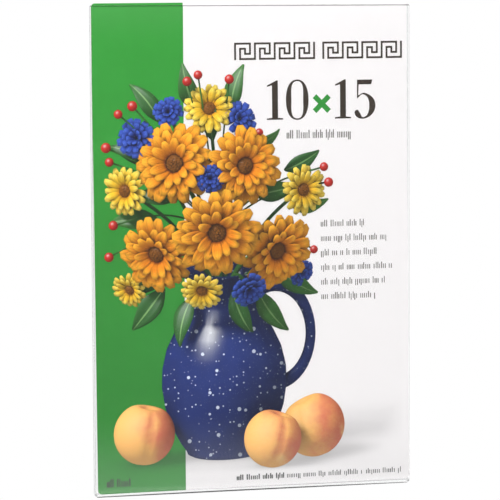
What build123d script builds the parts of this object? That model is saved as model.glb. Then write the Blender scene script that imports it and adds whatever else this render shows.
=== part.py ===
from build123d import *
import math
import os

# A clear magnetic photo frame, in millimetres. +Z is up, +X is to the right as seen
# from the front, and the front faces -Y. The origin is the centre of the upper magnet
# strip's back face, which lies on the steel door that the frame hangs on.

# Printed card, a standard 4 x 6 inch print in portrait
CARD_WIDTH = 101.6
CARD_HEIGHT = 152.4
CARD_THICKNESS = 0.35
CARD_CORNER_RADIUS = 1.25

# Where the card lies in the sleeve. It leans a little to the left, as dropped in
CARD_LEFT_MARGIN_LOW = 0.85
CARD_LEFT_MARGIN_HIGH = 0.11
CARD_RIGHT_MARGIN_LOW = 0.05
CARD_FRONT_CLEARANCE = 0.3
CARD_BACK_CLEARANCE = 0.75
CARD_SEAT_CLEARANCE = 0.05
CARD_PROUD_HEIGHT = 0.6

# Clear sleeve, one sheet of plastic folded back on itself along the bottom
SHEET_THICKNESS = 0.9
SLEEVE_LOW_CORNER_RADIUS = 1.2
SLEEVE_HIGH_CORNER_RADIUS = 0.5

# Flexible magnet strips, each on a film of adhesive across the back sheet
MAGNET_LENGTH = 76.2
MAGNET_HEIGHT = 12.7
MAGNET_THICKNESS = 1.5
MAGNET_EDGE_INSET = 9.0
ADHESIVE_THICKNESS = 0.15
ADHESIVE_RIM = 0.4

# Cuts reach this far past what they trim
OVERRUN = 1.0

# Pocket and sleeve sizes that follow the card
POCKET_DEPTH = CARD_FRONT_CLEARANCE + CARD_THICKNESS + CARD_BACK_CLEARANCE
FOLD_INNER_RADIUS = POCKET_DEPTH / 2
FOLD_OUTER_RADIUS = FOLD_INNER_RADIUS + SHEET_THICKNESS
SLEEVE_WIDTH = CARD_LEFT_MARGIN_LOW + CARD_WIDTH + CARD_RIGHT_MARGIN_LOW
SLEEVE_LEFT_X = -SLEEVE_WIDTH / 2

# The card's faces stand this far from the middle of the pocket, so its lower edges
# touch the round inside of the fold this high above the bottom of the sleeve
CARD_MIDDLE_OFFSET = FOLD_INNER_RADIUS - CARD_FRONT_CLEARANCE - CARD_THICKNESS / 2
CARD_EDGE_OFFSET = CARD_MIDDLE_OFFSET + CARD_THICKNESS / 2
FOLD_CONTACT_HEIGHT = FOLD_OUTER_RADIUS - math.sqrt(FOLD_INNER_RADIUS**2 - CARD_EDGE_OFFSET**2)
CARD_SEAT_HEIGHT = FOLD_CONTACT_HEIGHT + CARD_SEAT_CLEARANCE
SLEEVE_HEIGHT = CARD_SEAT_HEIGHT + CARD_HEIGHT - CARD_PROUD_HEIGHT

# The card leans by the angle that takes its left edge from the low to the high margin
CARD_LEAN = math.degrees(math.asin((CARD_LEFT_MARGIN_LOW - CARD_LEFT_MARGIN_HIGH) / CARD_HEIGHT))

# Depths along Y, from the door forwards
ADHESIVE_BACK_Y = -MAGNET_THICKNESS
SLEEVE_BACK_Y = ADHESIVE_BACK_Y - ADHESIVE_THICKNESS
POCKET_MIDDLE_Y = SLEEVE_BACK_Y - FOLD_OUTER_RADIUS
CARD_MIDDLE_Y = POCKET_MIDDLE_Y - CARD_MIDDLE_OFFSET

# Heights along Z, from the middle of the upper magnet strip
SLEEVE_TOP_Z = MAGNET_HEIGHT / 2 + MAGNET_EDGE_INSET
SLEEVE_BOTTOM_Z = SLEEVE_TOP_Z - SLEEVE_HEIGHT
UPPER_MAGNET_Z = 0
LOWER_MAGNET_Z = SLEEVE_BOTTOM_Z + MAGNET_EDGE_INSET + MAGNET_HEIGHT / 2


def folded_sheet():
    """The sheet's edge seen from the side, front and back walls with a half round fold."""
    fold_z = SLEEVE_BOTTOM_Z + FOLD_OUTER_RADIUS
    outer_front = POCKET_MIDDLE_Y - FOLD_OUTER_RADIUS
    outer_back = POCKET_MIDDLE_Y + FOLD_OUTER_RADIUS
    inner_front = POCKET_MIDDLE_Y - FOLD_INNER_RADIUS
    inner_back = POCKET_MIDDLE_Y + FOLD_INNER_RADIUS
    inner_bottom = fold_z - FOLD_INNER_RADIUS
    edge = [
        Line((outer_front, SLEEVE_TOP_Z), (outer_front, fold_z)),
        ThreePointArc(
            (outer_front, fold_z), (POCKET_MIDDLE_Y, SLEEVE_BOTTOM_Z), (outer_back, fold_z)
        ),
        Line((outer_back, fold_z), (outer_back, SLEEVE_TOP_Z)),
        Line((outer_back, SLEEVE_TOP_Z), (inner_back, SLEEVE_TOP_Z)),
        Line((inner_back, SLEEVE_TOP_Z), (inner_back, fold_z)),
        ThreePointArc((inner_back, fold_z), (POCKET_MIDDLE_Y, inner_bottom), (inner_front, fold_z)),
        Line((inner_front, fold_z), (inner_front, SLEEVE_TOP_Z)),
        Line((inner_front, SLEEVE_TOP_Z), (outer_front, SLEEVE_TOP_Z)),
    ]
    return Plane.YZ * make_face(edge)


def rounded_front(width, height, low_radius, high_radius):
    """A flat rectangle with its own corner radii below and above, centred on the origin."""
    blank = Rectangle(width, height)
    low_corners = blank.vertices().filter_by(lambda corner: corner.Y < 0)
    blank = fillet(low_corners, low_radius)
    high_corners = blank.vertices().group_by(Axis.Y)[-1]
    return fillet(high_corners, high_radius)


def clear_sleeve():
    walls = extrude(folded_sheet(), amount=SLEEVE_WIDTH / 2, both=True)
    outline = rounded_front(
        SLEEVE_WIDTH, SLEEVE_HEIGHT, SLEEVE_LOW_CORNER_RADIUS, SLEEVE_HIGH_CORNER_RADIUS
    )
    middle = Pos(0, POCKET_MIDDLE_Y, (SLEEVE_TOP_Z + SLEEVE_BOTTOM_Z) / 2)
    trim = extrude(Plane.XZ * outline, amount=FOLD_OUTER_RADIUS + OVERRUN, both=True)
    return walls & (middle * trim)


def insert_card():
    """The print. It turns about the middle of its lower left corner, which it stands on."""
    face = rounded_front(CARD_WIDTH, CARD_HEIGHT, CARD_CORNER_RADIUS, CARD_CORNER_RADIUS)
    to_corner = Pos(CARD_WIDTH / 2 - CARD_CORNER_RADIUS, CARD_HEIGHT / 2 - CARD_CORNER_RADIUS)
    leaning = Rot(Z=CARD_LEAN) * (to_corner * face)
    card = extrude(Plane.XZ * leaning, amount=CARD_THICKNESS / 2, both=True)
    corner_x = SLEEVE_LEFT_X + CARD_LEFT_MARGIN_LOW + CARD_CORNER_RADIUS
    corner_z = SLEEVE_BOTTOM_Z + CARD_SEAT_HEIGHT + CARD_CORNER_RADIUS
    return Pos(corner_x, CARD_MIDDLE_Y, corner_z) * card


def magnet_strip(middle_z):
    strip = Box(MAGNET_LENGTH, MAGNET_THICKNESS, MAGNET_HEIGHT)
    return Pos(0, -MAGNET_THICKNESS / 2, middle_z) * strip


def adhesive_film(middle_z):
    length = MAGNET_LENGTH - 2 * ADHESIVE_RIM
    height = MAGNET_HEIGHT - 2 * ADHESIVE_RIM
    film = Box(length, ADHESIVE_THICKNESS, height)
    return Pos(0, ADHESIVE_BACK_Y - ADHESIVE_THICKNESS / 2, middle_z) * film


nodes = {
    "clear_sleeve": clear_sleeve(),
    "insert_card": insert_card(),
    "magnet_strip_upper": magnet_strip(UPPER_MAGNET_Z),
    "magnet_strip_lower": magnet_strip(LOWER_MAGNET_Z),
    "adhesive_film_upper": adhesive_film(UPPER_MAGNET_Z),
    "adhesive_film_lower": adhesive_film(LOWER_MAGNET_Z),
}

os.makedirs("parts", exist_ok=True)
for name, solid in nodes.items():
    export_step(solid, f"parts/{name}.step")

print("sleeve height", round(SLEEVE_HEIGHT, 3), "card lean in degrees", round(CARD_LEAN, 3))
print("lower magnet z", round(LOWER_MAGNET_Z, 3), "sleeve bottom z", round(SLEEVE_BOTTOM_Z, 3))
print("pocket middle y", round(POCKET_MIDDLE_Y, 3), "card middle y", round(CARD_MIDDLE_Y, 3))
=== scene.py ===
# %% [markdown]
# A clear magnetic photo frame. One sheet of plastic is folded back on itself to make a
# pocket, a printed card drops into it from above, and two flexible magnet strips on the
# back hold it to a steel door. This lesson loads the measured model, dresses each piece
# in Blender, and sets up plain studio light and a camera at the photograph's angle.

# %% Load the frame
import math

import bmesh
import bpy
import numpy as np
from mathutils import Matrix, Quaternion, Vector
from mathutils.bvhtree import BVHTree


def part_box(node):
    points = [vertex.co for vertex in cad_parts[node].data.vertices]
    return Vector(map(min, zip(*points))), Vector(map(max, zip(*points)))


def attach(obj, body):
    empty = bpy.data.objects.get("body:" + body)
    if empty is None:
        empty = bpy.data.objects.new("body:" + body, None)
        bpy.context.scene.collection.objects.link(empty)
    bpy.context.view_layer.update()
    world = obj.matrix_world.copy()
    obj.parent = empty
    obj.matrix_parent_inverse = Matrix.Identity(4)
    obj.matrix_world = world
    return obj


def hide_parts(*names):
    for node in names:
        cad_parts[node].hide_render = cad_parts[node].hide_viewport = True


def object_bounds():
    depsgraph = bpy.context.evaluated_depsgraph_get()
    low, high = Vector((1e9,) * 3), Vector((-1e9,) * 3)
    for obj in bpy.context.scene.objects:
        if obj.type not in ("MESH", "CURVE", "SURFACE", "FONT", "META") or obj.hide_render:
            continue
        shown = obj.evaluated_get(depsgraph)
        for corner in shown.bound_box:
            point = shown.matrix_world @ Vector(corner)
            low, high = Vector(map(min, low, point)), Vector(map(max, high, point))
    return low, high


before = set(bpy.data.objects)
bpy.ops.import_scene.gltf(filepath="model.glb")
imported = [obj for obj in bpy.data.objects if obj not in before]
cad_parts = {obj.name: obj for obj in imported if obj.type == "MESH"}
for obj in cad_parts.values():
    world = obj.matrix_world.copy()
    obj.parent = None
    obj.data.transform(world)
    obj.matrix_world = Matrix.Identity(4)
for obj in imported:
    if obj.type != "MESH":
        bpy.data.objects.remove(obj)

MM = 0.001
cad_low, cad_high = [list(corner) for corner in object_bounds()]
sleeve_low, sleeve_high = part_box("clear_sleeve")
card_low, card_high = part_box("insert_card")
print("the frame measures", [round((b - a) / MM, 2) for a, b in zip(cad_low, cad_high)], "mm")

# %% [markdown]
# Every modelling step below works on one object at a time. An operator acts on all that is
# selected, so a piece is taken in hand first, with all else let go. A finished piece sits at
# the origin, unturned and unscaled, so its place is applied to its mesh.


# %% Take one piece in hand
def take(piece):
    if bpy.context.object and bpy.context.object.mode != "OBJECT":
        bpy.ops.object.mode_set(mode="OBJECT")
    bpy.ops.object.select_all(action="DESELECT")
    piece.select_set(True)
    bpy.context.view_layer.objects.active = piece


def new_name(name):
    """Names the object that was just added, and its mesh."""
    piece = bpy.context.object
    piece.name = piece.data.name = name
    return piece


def new_object(name, data):
    piece = bpy.data.objects.new(name, data)
    bpy.context.scene.collection.objects.link(piece)
    return piece


def apply_place(piece):
    take(piece)
    bpy.ops.object.transform_apply(location=True, rotation=True, scale=True)


def use_modifier(piece, kind, **settings):
    take(piece)
    modifier = piece.modifiers.new(kind.title(), kind)
    for name, value in settings.items():
        setattr(modifier, name, value)
    bpy.ops.object.modifier_apply(modifier=modifier.name)


def smooth(piece):
    take(piece)
    bpy.ops.object.shade_smooth()


def join_all(pieces, name):
    take(pieces[0])
    for piece in pieces[1:]:
        piece.select_set(True)
    if len(pieces) > 1:
        bpy.ops.object.join()
    return new_name(name)


# %% [markdown]
# In edit mode, faces, edges and points are picked by where they lie or which way they face,
# as a hand would pick them. A few moves come back often enough to have a name.

# %% Pick and shape in edit mode
WELD = 0.001 * MM


def start_edit(piece, kind="FACE"):
    take(piece)
    bpy.ops.object.mode_set(mode="EDIT")
    bpy.ops.mesh.select_mode(type=kind)


def end_edit():
    bpy.ops.object.mode_set(mode="OBJECT")


def pick_all():
    bpy.ops.mesh.select_all(action="SELECT")


def pick_none():
    bpy.ops.mesh.select_all(action="DESELECT")


def pick(piece, kind, test):
    """Selects the faces, edges or points that pass the test, which is given each one's
    middle and the face, edge or point itself."""
    pick_none()
    mesh = bmesh.from_edit_mesh(piece.data)
    for part in {"FACE": mesh.faces, "EDGE": mesh.edges, "VERT": mesh.verts}[kind]:
        corners = [part] if kind == "VERT" else part.verts
        middle = sum((corner.co for corner in corners), Vector()) / len(corners)
        part.select_set(test(middle, part))
    bmesh.update_edit_mesh(piece.data)


def weld():
    pick_all()
    bpy.ops.mesh.remove_doubles(threshold=WELD)


def face_outwards():
    pick_all()
    bpy.ops.mesh.normals_make_consistent(inside=False)


def extrude_faces(step):
    bpy.ops.mesh.extrude_region_move(TRANSFORM_OT_translate={"value": step})


def extrude_edges(step):
    bpy.ops.mesh.extrude_edges_move(TRANSFORM_OT_translate={"value": step})


def tell(piece):
    """Prints a piece's faces, its volume, and the edges that don't join exactly two faces."""
    mesh = bmesh.new()
    mesh.from_mesh(piece.data)
    volume = round(mesh.calc_volume(signed=True) / MM**3, 1)
    open_edges = sum(1 for edge in mesh.edges if len(edge.link_faces) != 2)
    print(piece.name, len(mesh.faces), "faces,", volume, "cubic mm,", open_edges, "open edges")
    mesh.free()


# %% [markdown]
# The sleeve is a strip of clear styrene, 0.9 mm thick, heated along one line and folded
# over a blade. It could be a box with a slot, but then the fold would have no round
# inside. So it is made as the real one is: a thin cross-section of the sheet is drawn
# down for the front wall, spun half a turn for the fold, and drawn up for the back wall.

# %% Fold the sleeve from one sheet
SHEET_THICKNESS = 0.9 * MM
FOLD_STEPS = 28
UPRIGHT = (math.radians(90), 0, 0)

fold_radius = (sleeve_high[1] - sleeve_low[1]) / 2
fold_middle = (sleeve_low[1] + sleeve_high[1]) / 2
fold_height = sleeve_low[2] + fold_radius
wall_height = sleeve_high[2] - fold_height
sleeve_width = sleeve_high[0] - sleeve_low[0]


def sheet_blank(name, middle, width, depth, turn=(0, 0, 0)):
    """A flat rectangle, which lies down unless it is turned upright."""
    bpy.ops.mesh.primitive_plane_add(size=1, location=middle, rotation=turn)
    piece = new_name(name)
    piece.scale = (width, depth, 1)
    apply_place(piece)
    return piece


def folded_sleeve():
    front_middle = sleeve_low[1] + SHEET_THICKNESS / 2
    top = (0, front_middle, sleeve_high[2])
    piece = sheet_blank("sleeve_clear", top, sleeve_width, SHEET_THICKNESS)
    start_edit(piece)
    pick_all()
    extrude_faces((0, 0, -wall_height))
    bpy.ops.mesh.spin(
        steps=FOLD_STEPS,
        angle=-math.pi,
        center=(0, fold_middle, fold_height),
        axis=(1, 0, 0),
    )
    extrude_faces((0, 0, wall_height))
    weld()
    pick_none()
    bpy.ops.mesh.select_interior_faces()
    bpy.ops.mesh.delete(type="FACE")
    face_outwards()
    end_edit()
    return piece


sleeve = folded_sleeve()
tell(sleeve)

# %% [markdown]
# The rims at the mouth are polished round with a flame, so they get a wide bevel. The
# corners of the sheet are rounded too, more at the fold than at the mouth. A round corner
# is cut here as a file would cut it, with a few straight passes that each turn a little
# further. Bisect fills each cut, so the sheet stays solid.

# %% Round the rims and the corners
LOW_CORNER = 1.2 * MM
HIGH_CORNER = 0.5 * MM
CORNER_CUTS = 9
TOP_ROUND = 0.40 * MM
TOP_ROUND_STEPS = 6


def round_corner(side, end, radius):
    """Cuts one corner. side is -1 for left and 1 for right, end is -1 for low and 1 for high."""
    middle_x = side * (sleeve_width / 2 - radius)
    middle_z = sleeve_low[2] + radius if end < 0 else sleeve_high[2] - radius
    for cut in range(CORNER_CUTS):
        turn = math.radians(90) * (cut + 0.5) / CORNER_CUTS
        outward = Vector((side * math.cos(turn), 0, end * math.sin(turn)))
        pick_all()
        bpy.ops.mesh.bisect(
            plane_co=Vector((middle_x, 0, middle_z)) + outward * radius,
            plane_no=outward,
            use_fill=True,
            clear_outer=True,
            threshold=WELD,
        )


def on_top_rim(at, edge):
    across = abs(edge.verts[0].co.x - edge.verts[1].co.x)
    return at.z > sleeve_high[2] - WELD and across > SHEET_THICKNESS


start_edit(sleeve, "EDGE")
pick(sleeve, "EDGE", on_top_rim)
bpy.ops.mesh.bevel(offset=TOP_ROUND, segments=TOP_ROUND_STEPS, affect="EDGES")
bpy.ops.mesh.select_mode(type="FACE")
for side in (-1, 1):
    round_corner(side, -1, LOW_CORNER)
    round_corner(side, 1, HIGH_CORNER)
weld()
end_edit()

# %% Break the cut edges
EDGE_BREAK = 0.13 * MM
SHARP_ANGLE = math.radians(35)

use_modifier(
    sleeve,
    "BEVEL",
    width=EDGE_BREAK,
    segments=2,
    limit_method="ANGLE",
    angle_limit=SHARP_ANGLE,
    use_clamp_overlap=False,
)
take(sleeve)
bpy.ops.object.shade_smooth_by_angle(angle=SHARP_ANGLE)
use_modifier(sleeve, "WEIGHTED_NORMAL", weight=100, keep_sharp=True)
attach(sleeve, "sleeve")
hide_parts("clear_sleeve")
tell(sleeve)

# %% [markdown]
# Materials are made of nodes. These helpers add a node, set its inputs and link it in one
# line, so that each finish below reads as a short recipe. A recipe takes the material's
# tree of nodes and gives back the shader for its surface.

# %% Helpers for nodes
# Where the Mix node keeps its two inputs and its result, for levels and for colours
MIX_SOCKETS = {"FLOAT": (2, 3, 0), "RGBA": (6, 7, 2)}


def add_node(tree, kind, inputs=None, **settings):
    """Adds a node and sets each input to a value, or links it to another node's output."""
    node = tree.nodes.new("ShaderNode" + kind)
    for name, value in settings.items():
        setattr(node, name, value)
    for name, value in (inputs or {}).items():
        if isinstance(value, bpy.types.NodeSocket):
            tree.links.new(value, node.inputs[name])
        else:
            node.inputs[name].default_value = value
    return node


def calc(tree, operation, first, second=0.5, third=0.5, clamp=False):
    inputs = {0: first, 1: second, 2: third}
    return add_node(tree, "Math", inputs, operation=operation, use_clamp=clamp).outputs[0]


def scaled(tree, share, amount, start=0.0):
    """start + share * amount."""
    return calc(tree, "MULTIPLY_ADD", share, amount, start)


def ramp(tree, share, low, high, low_value=0.0, high_value=1.0):
    """A smooth step: low_value below low, high_value above high."""
    inputs = {"From Min": low, "From Max": high, "To Min": low_value, "To Max": high_value}
    inputs["Value"] = share
    node = add_node(tree, "MapRange", inputs, interpolation_type="SMOOTHSTEP")
    return node.outputs["Result"]


def mix(tree, share, first, second, blend="MIX", kind="RGBA"):
    """Mixes two colours, or with kind FLOAT two levels."""
    a, b, result = MIX_SOCKETS[kind]
    inputs = {0: share, a: first, b: second}
    return add_node(tree, "Mix", inputs, data_type=kind, blend_type=blend).outputs[result]


def shaded(tree, colour, shade):
    return mix(tree, 1.0, colour, shade, blend="MULTIPLY")


def object_place(tree, scale=(1, 1, 1)):
    coordinates = add_node(tree, "TexCoord").outputs["Object"]
    return add_node(tree, "Mapping", {"Vector": coordinates, "Scale": scale}).outputs["Vector"]


def along(tree, axis, vector=None):
    """How far a place lies along X, Y or Z, or how far a direction points that way."""
    vector = object_place(tree) if vector is None else vector
    return add_node(tree, "SeparateXYZ", {0: vector}).outputs[axis]


def noise(tree, place, scale, detail=4.0, roughness=0.55):
    inputs = {"Vector": place, "Scale": scale, "Detail": detail, "Roughness": roughness}
    return add_node(tree, "TexNoise", inputs).outputs["Fac"]


# %% Helpers for shaders and materials
def bump(tree, height, strength, distance):
    inputs = {"Height": height, "Strength": strength, "Distance": distance}
    return {"Normal": add_node(tree, "Bump", inputs).outputs["Normal"]}


def principled(tree, colour, roughness, others=None):
    inputs = {"Base Color": colour, "Roughness": roughness, **(others or {})}
    return add_node(tree, "BsdfPrincipled", inputs).outputs[0]


def transparent(tree):
    return add_node(tree, "BsdfTransparent").outputs[0]


def glow(tree, strength):
    return add_node(tree, "Emission", {"Color": (1, 1, 1, 1), "Strength": strength}).outputs[0]


def mix_shaders(tree, share, first, second):
    return add_node(tree, "MixShader", {0: share, 1: first, 2: second}).outputs[0]


def light_path(tree):
    return add_node(tree, "LightPath").outputs


def make_material(name, recipe, *values, **settings):
    material = bpy.data.materials.new(name)
    material.use_nodes = True
    tree = material.node_tree
    tree.nodes.clear()
    add_node(tree, "OutputMaterial", {"Surface": recipe(tree, *values, **settings)})
    return material


def wear(piece, material):
    piece.data.materials.clear()
    piece.data.materials.append(material)


# %% [markdown]
# Clear styrene bends light as glass does, and its faces are rolled so flat that only a
# few hair scratches and a trace of haze show. Straight through, the sheet takes almost no
# light. Lamps would cast a solid shadow through a bending surface, so shadow rays pass
# straight on.
#
# What enters by a cut edge runs on inside the sheet and is lost, so the edges look grey. That
# grey is painted shade, in twins of the material tinted grey. The rims at the top mirror
# little. At the sides the edges are so well polished that most light passes straight on.

# %% Clear styrene
STYRENE_BEND = 1.59
STYRENE_CLEAR = (0.985, 0.99, 0.99, 1)
SCRATCH_LAY = (18, 1, 1)


def styrene(tree, tint, mirror=(1, 1, 1, 1), least_passing=0.0):
    streaks = noise(tree, object_place(tree, SCRATCH_LAY), scale=900, detail=2)
    scratches = ramp(tree, streaks, 0.70, 0.78)
    haze = noise(tree, object_place(tree), scale=60, detail=5)
    roughness = scaled(tree, haze, 0.02, scaled(tree, scratches, 0.12, 0.012))
    clear = {"IOR": STYRENE_BEND, "Transmission Weight": 1.0, "Specular Tint": mirror}
    clear |= bump(tree, haze, 0.05, 0.02 * MM)
    sheet = principled(tree, tint, roughness, clear)
    rays = light_path(tree)
    straight = calc(tree, "MAXIMUM", rays["Is Shadow Ray"], rays["Is Diffuse Ray"])
    straight = calc(tree, "MAXIMUM", straight, least_passing)
    return mix_shaders(tree, straight, sheet, transparent(tree))


wear(sleeve, make_material("clear_styrene", styrene, STYRENE_CLEAR))

# %% Cut edges of the styrene
# Painted shade: grey tints for the cut edges, dark at the top rims and faint at the sides
STYRENE_TOP_EDGE_PAINTED_SHADE = (0.38, 0.37, 0.37, 1)
TOP_EDGE_MIRROR = (0.05, 0.05, 0.05, 1)
TOP_EDGE_FACING = 0.1
STYRENE_SIDE_EDGE_PAINTED_SHADE = (0.93, 0.91, 0.93, 1)
SIDE_EDGE_PASSING = 0.5
SIDE_EDGE_FACING = 0.3


def wear_on_faces(piece, material, test):
    """Gives one more material to the faces that pass the test."""
    piece.data.materials.append(material)
    start_edit(piece)
    pick(piece, "FACE", test)
    piece.active_material_index = len(piece.data.materials) - 1
    bpy.ops.object.material_slot_assign()
    end_edit()


def on_top_edge(at, face):
    return face.normal.z > TOP_EDGE_FACING and at.z > sleeve_high[2] - SHEET_THICKNESS


def on_side_edge(_, face):
    return abs(face.normal.x) > SIDE_EDGE_FACING


top_edge = make_material("styrene_top_edge", styrene, STYRENE_TOP_EDGE_PAINTED_SHADE, TOP_EDGE_MIRROR)
side_edge = make_material(
    "styrene_side_edge", styrene, STYRENE_SIDE_EDGE_PAINTED_SHADE, least_passing=SIDE_EDGE_PASSING
)
wear_on_faces(sleeve, top_edge, on_top_edge)
wear_on_faces(sleeve, side_edge, on_side_edge)
print("the sleeve wears", [material.name for material in sleeve.data.materials])

# %% [markdown]
# The card is coated paper. Its front is smooth and white, with the faint mottle of a
# coating, and its back and edges are bare fibre. One material tells them apart by which
# way a face points. The card's own solid stays, because its shape is right.

# %% Card stock
CARD_WHITES = ((0.920, 0.890, 0.895, 1), (0.950, 0.922, 0.927, 1))
# Painted shade: the card's white is darkened over its lowest 24 mm
FOOT_PAINTED_SHADE = 0.87
FOOT_PAINTED_SHADE_HEIGHT = 24 * MM
FIBRE_COLOURS = ((0.83, 0.815, 0.785, 1), (0.93, 0.92, 0.895, 1))
FIBRE_LAY = (1, 1, 3)


def coated_white(tree):
    """The coating's white in a faint mottle, with painted shade towards the foot, and how rough it
    is.
    """
    mottle = noise(tree, object_place(tree), scale=350, detail=6)
    painted_shade_top = card_low[2] + FOOT_PAINTED_SHADE_HEIGHT
    # painted shade, darker towards the card's foot
    foot = ramp(tree, along(tree, "Z"), card_low[2], painted_shade_top, FOOT_PAINTED_SHADE, 1.0)
    white = shaded(tree, mix(tree, mottle, *CARD_WHITES), foot)
    return white, scaled(tree, mottle, 0.1, 0.42)


def coated_card(tree):
    facing = add_node(tree, "NewGeometry").outputs["True Normal"]
    front = ramp(tree, along(tree, "Y", facing), -0.6, -0.9)
    fibre = noise(tree, object_place(tree, FIBRE_LAY), scale=900, detail=5, roughness=0.7)
    colour = mix(tree, fibre, *FIBRE_COLOURS)
    relief = bump(tree, fibre, 0.15, 0.02 * MM)
    paper = principled(tree, colour, scaled(tree, fibre, 0.1, 0.8), relief)
    return mix_shaders(tree, front, paper, principled(tree, *coated_white(tree)))


wear(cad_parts["insert_card"], make_material("coated_card", coated_card))

# %% [markdown]
# Everything printed on the card is drawn in the card's own place, across and up from its
# lower left corner, as a layer of ink about a hundredth of a millimetre thick. The card
# leans a little in the pocket, so one helper turns each finished layer onto it. Ink lies
# on a coated card in a faint mottle, so it has two close tones and an uneven gloss.

# %% Put ink on the card
INK = 0.012 * MM
CARD_LEAN = math.radians(0.278)
CARD_CORNER = 1.25 * MM
CARD_SIDE_MARGIN = 0.85 * MM
CARD_WIDTH = 101.6 * MM
CARD_HEIGHT = 152.4 * MM

corner_across = sleeve_low[0] + CARD_SIDE_MARGIN + CARD_CORNER
card_turn_point = Vector((corner_across, card_low[1], card_low[2] + CARD_CORNER))


def moved(across, out, up):
    return Matrix.Translation((across, out, up))


def print_on_card(piece, name):
    """Takes a piece drawn with X across, Z up and -Y out of the paper, in metres, to the card."""
    lean = Matrix.Rotation(-CARD_LEAN, 4, "Y")
    to_corner = moved(-CARD_CORNER, 0, -CARD_CORNER)
    piece.matrix_world = Matrix.Translation(card_turn_point) @ lean @ to_corner
    apply_place(piece)
    piece.name = piece.data.name = name
    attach(piece, "card")


# %% Ink
INK_FINE, INK_BROAD, INK_FINE_SHARE = 2520, 52.5, 0.5
INK_SHEEN = 0.38
INK_RELIEF = 0.01 * MM


def mottle(tree, fine_scale, broad_scale, fine_share):
    """A fine and a broad mottle in one, from 0 to 1."""
    fine = noise(tree, object_place(tree), fine_scale, detail=3)
    broad = scaled(tree, noise(tree, object_place(tree), broad_scale), 1 - fine_share)
    return ramp(tree, scaled(tree, fine, fine_share, broad), 0.3, 0.7)


def ink_layer(tree, tone, fine_scale, unevenness):
    fine = noise(tree, object_place(tree), fine_scale, detail=3)
    relief = bump(tree, fine, 0.06, INK_RELIEF)
    return principled(tree, tone, scaled(tree, fine, unevenness, INK_SHEEN), relief)


def ink(tree, dark, light):
    tone = mix(tree, mottle(tree, INK_FINE, INK_BROAD, INK_FINE_SHARE), dark, light)
    return ink_layer(tree, tone, INK_FINE, 0.12)


# %% [markdown]
# A green band runs down the card's left side. On the real card its inner edge isn't quite
# parallel with the cut edge, so the blank is a box whose two upper right points are moved
# out, and its outer corners get the card's own round. Its green is painted lighter towards
# the top, which is painted light.

# %% Green band
BAND_WIDTH_LOW = 28.1 * MM
BAND_WIDTH_HIGH = 29.0 * MM
BAND_CORNER_STEPS = 8


def bar_blank(name, middle, size):
    bpy.ops.mesh.primitive_cube_add(size=1, location=middle, scale=size)
    piece = new_name(name)
    apply_place(piece)
    return piece


def on_outer_corner(at, _):
    """The two edges through the ink, at the card's own corners on the left."""
    through = at.x < WELD and abs(at.y + INK / 2) < WELD / 4
    return through and abs(at.z - CARD_HEIGHT / 2) > CARD_CORNER


def green_band():
    middle = (BAND_WIDTH_LOW / 2, -INK / 2, CARD_HEIGHT / 2)
    band = bar_blank("band", middle, (BAND_WIDTH_LOW, INK, CARD_HEIGHT))
    start_edit(band, "VERT")
    pick(band, "VERT", lambda at, _: at.x > middle[0] and at.z > middle[2])
    bpy.ops.transform.translate(value=(BAND_WIDTH_HIGH - BAND_WIDTH_LOW, 0, 0))
    bpy.ops.mesh.select_mode(type="EDGE")
    pick(band, "EDGE", on_outer_corner)
    bpy.ops.mesh.bevel(offset=CARD_CORNER, segments=BAND_CORNER_STEPS, affect="EDGES")
    end_edit()
    print_on_card(band, "print_green_band")
    return band


band = green_band()
tell(band)

# %% Green ink
# Painted light: the band's green is lighter at the top than at the foot
GREEN_LOW = ((0.026, 0.222, 0.029, 1), (0.032, 0.243, 0.036, 1))
GREEN_HIGH_PAINTED_LIGHT = ((0.026, 0.308, 0.031, 1), (0.032, 0.335, 0.038, 1))
GREEN_PAINTED_LIGHT_RISE = 20 * MM
GREEN_FINE, GREEN_BROAD, GREEN_FINE_SHARE = 2600, 45, 0.35


def green_tone(tree):
    # painted light, the green grows lighter towards the top
    rise = ramp(tree, along(tree, "Z"), card_low[2], card_high[2] + GREEN_PAINTED_LIGHT_RISE)
    tone = mottle(tree, GREEN_FINE, GREEN_BROAD, GREEN_FINE_SHARE)
    return mix(tree, rise, mix(tree, tone, *GREEN_LOW), mix(tree, tone, *GREEN_HIGH_PAINTED_LIGHT))


def green_ink(tree):
    return ink_layer(tree, green_tone(tree), GREEN_FINE, 0.1)


wear(band, make_material("green_ink", green_ink))

# %% [markdown]
# The picture is a still life: a speckled blue enamel jug of orange and yellow flowers, with
# peaches at its foot. A flat drawing would look like a diagram, and the picture on such a
# card is as round and shaded as a photograph. So the still life is modelled in the round,
# lit once with rays, and then pressed almost flat onto the card, keeping its light as a
# printed tone.
#
# It starts with a single petal: a small grid, narrowed row by row to a petal's outline,
# bowed, and lifted at its sides. Everything that repeats is a copy with its own mesh, and
# its own tint, a chance number that the inks will read.

# %% One petal and its copies
PETAL_THICKNESS = 0.35 * MM
RIM_SHARE = 0.12
RIM_LIFT_SHARE = 0.07


def grid_blank(name, middle, width, depth, columns, rows):
    bpy.ops.mesh.primitive_grid_add(
        x_subdivisions=columns, y_subdivisions=rows, size=1, location=middle
    )
    piece = new_name(name)
    piece.scale = (width, depth, 1)
    apply_place(piece)
    return piece


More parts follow.
